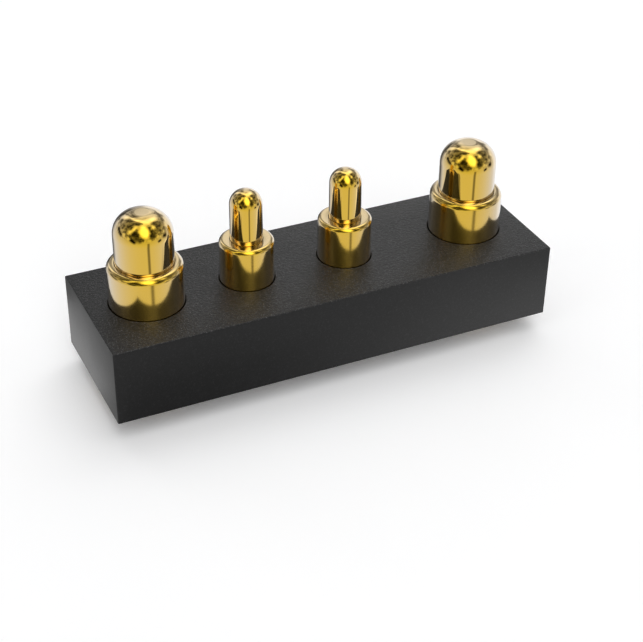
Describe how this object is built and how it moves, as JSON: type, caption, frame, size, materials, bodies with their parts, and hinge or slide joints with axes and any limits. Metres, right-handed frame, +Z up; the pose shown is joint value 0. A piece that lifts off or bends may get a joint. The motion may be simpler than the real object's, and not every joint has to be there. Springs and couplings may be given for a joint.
{
  "type": "spring-loaded pin connector",
  "caption": "Spring-loaded pin connector: a black block carries a row of gold barrels with domed sliding plungers, wide ones at the ends and slim ones between.",
  "frame": {"origin": "on the board plane, under the middle of the block", "axes": "+X along the row of pins, +Y towards the back, +Z up, the way the plungers point"},
  "size_m": [0.0132, 0.0042, 0.0056],
  "materials": {
    "black_plastic": "fine matte moulded surface",
    "gold_plating": "polished gold plating over turned brass",
    "spring_steel": "drawn wire",
    "ball_steel": "polished ball"
  },
  "bodies": {
    "connector": {"housing": "black_plastic", "power_barrel_left": "gold_plating", "power_spring_left": "spring_steel", "signal_barrel_left": "gold_plating", "signal_spring_left": "spring_steel", "signal_barrel_right": "gold_plating", "signal_spring_right": "spring_steel", "power_barrel_right": "gold_plating", "power_spring_right": "spring_steel"},
    "power_contact_left": {"power_plunger_left": "gold_plating", "power_ball_left": "ball_steel"},
    "signal_contact_left": {"signal_plunger_left": "gold_plating"},
    "signal_contact_right": {"signal_plunger_right": "gold_plating"},
    "power_contact_right": {"power_plunger_right": "gold_plating", "power_ball_right": "ball_steel"}
  },
  "joints": [
    {"name": "power_press_left", "type": "slide", "parent": "connector", "child": "power_contact_left", "axis": [0, 0, -1], "range_m": [0, 0.0012], "stiffness_N_per_m": 500, "deforming": ["power_spring_left"]},
    {"name": "signal_press_left", "type": "slide", "parent": "connector", "child": "signal_contact_left", "axis": [0, 0, -1], "range_m": [0, 0.0012], "stiffness_N_per_m": 300, "deforming": ["signal_spring_left"]},
    {"name": "signal_press_right", "type": "slide", "parent": "connector", "child": "signal_contact_right", "axis": [0, 0, -1], "range_m": [0, 0.0012], "stiffness_N_per_m": 300, "deforming": ["signal_spring_right"]},
    {"name": "power_press_right", "type": "slide", "parent": "connector", "child": "power_contact_right", "axis": [0, 0, -1], "range_m": [0, 0.0012], "stiffness_N_per_m": 500, "deforming": ["power_spring_right"]}
  ]
}
